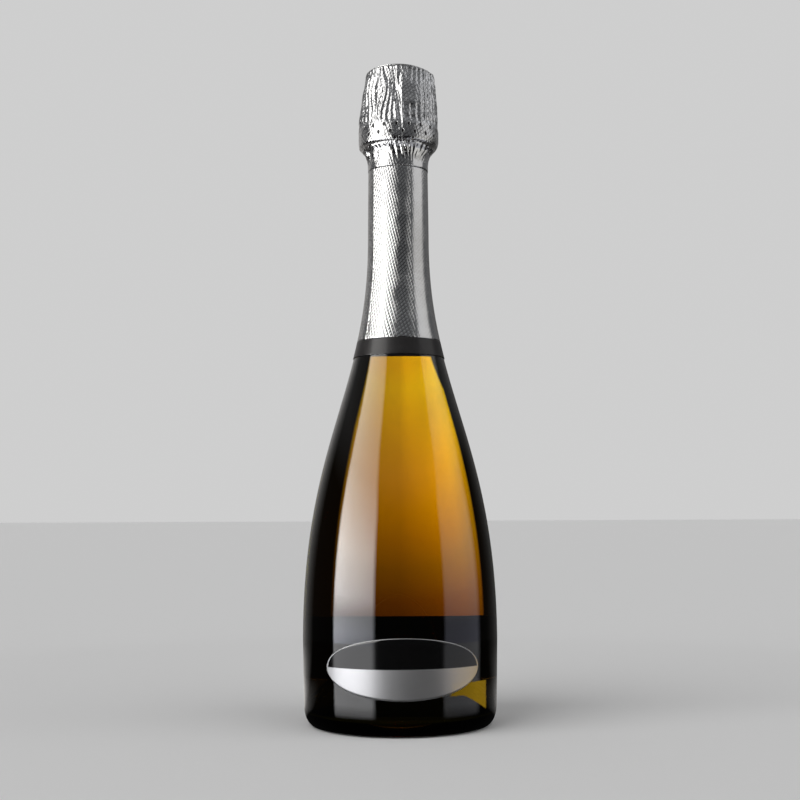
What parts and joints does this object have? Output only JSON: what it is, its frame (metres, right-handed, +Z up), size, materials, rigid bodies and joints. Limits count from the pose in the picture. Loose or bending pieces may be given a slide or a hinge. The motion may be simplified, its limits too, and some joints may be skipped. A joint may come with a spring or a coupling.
{
  "type": "sparkling wine bottle",
  "caption": "Sparkling wine bottle with sloping shoulders, punt, wired mushroom cork, pleated silver foil capsule, dark neck band and oval front label.",
  "frame": {"origin": "centre of the standing ring, on the surface that the bottle stands on", "axes": "+Z up along the bottle's axis, the front label faces -Y, the key of the wire cage lies at +Y"},
  "size_m": [0.097, 0.0979, 0.3329],
  "materials": {
    "glass": "smooth dark glass",
    "wine": "clear golden liquid",
    "silver_foil": "embossed satin foil",
    "black_foil": "smooth black lacquer",
    "front_paper": "metallic paper, grey over silver",
    "back_paper": "dark matt paper",
    "cork": "pressed cork granules",
    "natural_cork": "natural cork",
    "wire": "bright galvanised wire",
    "cap_metal": "bright tinplate"
  },
  "bodies": {
    "bottle": {"glass_bottle": "glass", "wine_fill": "wine", "front_label": "front_paper", "back_label": "back_paper", "capsule_skirt": "silver_foil", "neck_band": "black_foil"},
    "cork": {"cork_body": "cork", "cork_disc_upper": "natural_cork", "cork_disc_lower": "natural_cork"},
    "cage": {"cage_cap": "cap_metal", "cage_top_ring": "wire", "cage_leg_1": "wire", "cage_leg_2": "wire", "cage_leg_3": "wire", "cage_leg_4": "wire", "cage_belt": "wire"},
    "hood": {"capsule_hood": "silver_foil", "capsule_top_disc": "silver_foil"},
    "key_stem": {"key_stem": "wire"},
    "key": {"key_loop": "wire"}
  },
  "joints": [
    {"name": "cork_pull", "type": "slide", "parent": "bottle", "child": "cork", "axis": [0, 0, 1], "range_m": [0, 0.06]},
    {"name": "cage_lift", "type": "slide", "parent": "cork", "child": "cage", "axis": [0, 0, 1], "range_m": [0, 0.05], "deforming": ["cage_belt", "cage_leg_1", "cage_leg_2", "cage_leg_3", "cage_leg_4"]},
    {"name": "hood_lift", "type": "slide", "parent": "cage", "child": "hood", "axis": [0, 0, 1], "range_m": [0, 0.07], "deforming": ["capsule_hood"]},
    {"name": "key_twist", "type": "hinge", "parent": "cage", "child": "key_stem", "pos_m": [0, 0.01804, 0.2937], "axis": [0, 1, 0], "range_deg": [0, 1080]},
    {"name": "key_fold", "type": "hinge", "parent": "key_stem", "child": "key", "pos_m": [0, 0.01884, 0.2937], "axis": [-1, 0, 0], "range_deg": [0, 100]}
  ]
}
